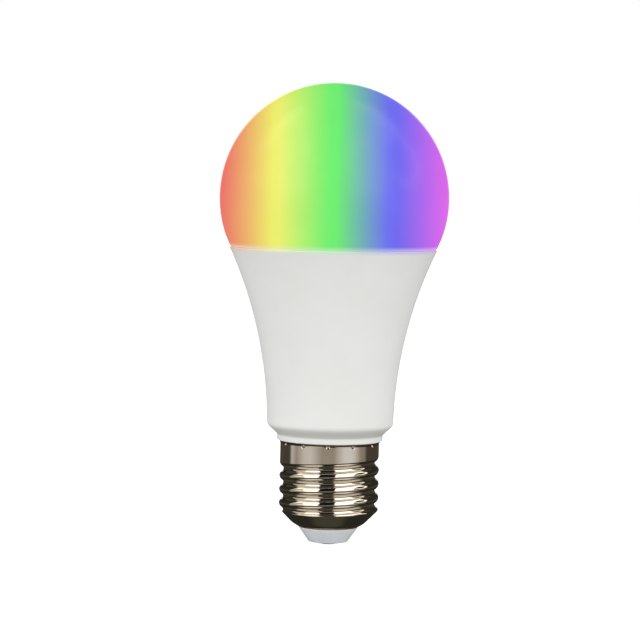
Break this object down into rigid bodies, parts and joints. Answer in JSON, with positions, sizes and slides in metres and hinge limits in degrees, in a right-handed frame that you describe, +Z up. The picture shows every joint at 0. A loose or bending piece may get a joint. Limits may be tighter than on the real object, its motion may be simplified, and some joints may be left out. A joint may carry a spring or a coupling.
{
  "type": "smart light bulb",
  "caption": "Colour-changing smart LED bulb: frosted spherical diffuser, flared white housing and nickel-plated screw cap, with its light board, heat sink, wireless module and driver inside.",
  "frame": {"origin": "centre of the end face of the centre contact at the bottom of the screw cap", "axes": "+Z up the bulb's axis from the cap to the top of the diffuser; -Y is the front; +X is to the right seen from the front"},
  "size_m": [0.06, 0.06, 0.121],
  "materials": {
    "diffuser_plastic": "frosted, glowing in colour bands",
    "silicone": "matt",
    "housing_plastic": "matt white",
    "cup_aluminium": "drawn",
    "plate_aluminium": "pressed",
    "paste": "matt",
    "light_board_face": "white solder mask",
    "zinc_screw": "zinc plated",
    "led_body": "matt",
    "cool_phosphor": "satin",
    "warm_phosphor": "satin",
    "colour_window": "clear resin over three dies",
    "chip_black": "moulded",
    "chip_part": "matt",
    "socket_white": "moulded",
    "header_black": "moulded",
    "pin_gold": "plated",
    "radio_board": "solder mask",
    "shield_can": "tinned",
    "antenna_gold": "plated",
    "solder": "bright",
    "driver_pcb": "solder mask",
    "diode_grey": "moulded",
    "can_aluminium": "bright",
    "sleeve_dark": "shrunk film",
    "sleeve_blue": "shrunk film",
    "film_red": "dipped",
    "ferrite": "matt",
    "shrink_black": "satin",
    "varistor_blue": "dipped",
    "resistor_body": "lacquered",
    "braid_white": "woven",
    "bobbin_plastic": "moulded",
    "tape_yellow": "tape",
    "tinned_wire": "tinned",
    "wire_red": "insulated",
    "wire_bare": "tinned",
    "cap_nickel": "nickel plated",
    "insulator_plastic": "moulded",
    "contact_metal": "nickel plated"
  },
  "bodies": {
    "root": {"diffuser": "diffuser_plastic", "diffuser_adhesive": "silicone", "housing": "housing_plastic", "heat_sink_cup": "cup_aluminium", "heat_spreader_plate": "plate_aluminium", "thermal_paste": "paste", "light_board": "light_board_face", "board_screws": "zinc_screw", "cool_white_leds": "led_body", "cool_white_phosphors": "cool_phosphor", "warm_white_leds": "led_body", "warm_white_phosphors": "warm_phosphor", "colour_leds": "led_body", "colour_led_windows": "colour_window", "led_driver_chips": "chip_black", "light_board_passives": "chip_part", "power_socket": "socket_white", "power_header": "header_black", "power_pins": "pin_gold", "wireless_board": "radio_board", "wireless_shield": "shield_can", "wireless_antenna": "antenna_gold", "wireless_solder": "solder", "driver_board": "driver_pcb", "bridge_rectifier": "chip_black", "power_controller": "chip_black", "output_diode": "diode_grey", "driver_passives": "chip_part", "bulk_capacitor": "can_aluminium", "bulk_capacitor_sleeve": "sleeve_dark", "output_capacitor": "can_aluminium", "output_capacitor_sleeve": "sleeve_blue", "film_capacitor": "film_red", "line_inductor": "ferrite", "inductor_sleeve": "shrink_black", "surge_varistor": "varistor_blue", "fusible_resistor": "resistor_body", "resistor_sleeve": "braid_white", "transformer_core": "ferrite", "transformer_bobbin": "bobbin_plastic", "transformer_winding": "tape_yellow", "component_leads": "tinned_wire", "solder_joints": "solder", "live_wire": "wire_red", "neutral_wire": "wire_bare", "cap_shell": "cap_nickel", "cap_insulator": "insulator_plastic", "centre_contact": "contact_metal"}
  },
  "joints": []
}
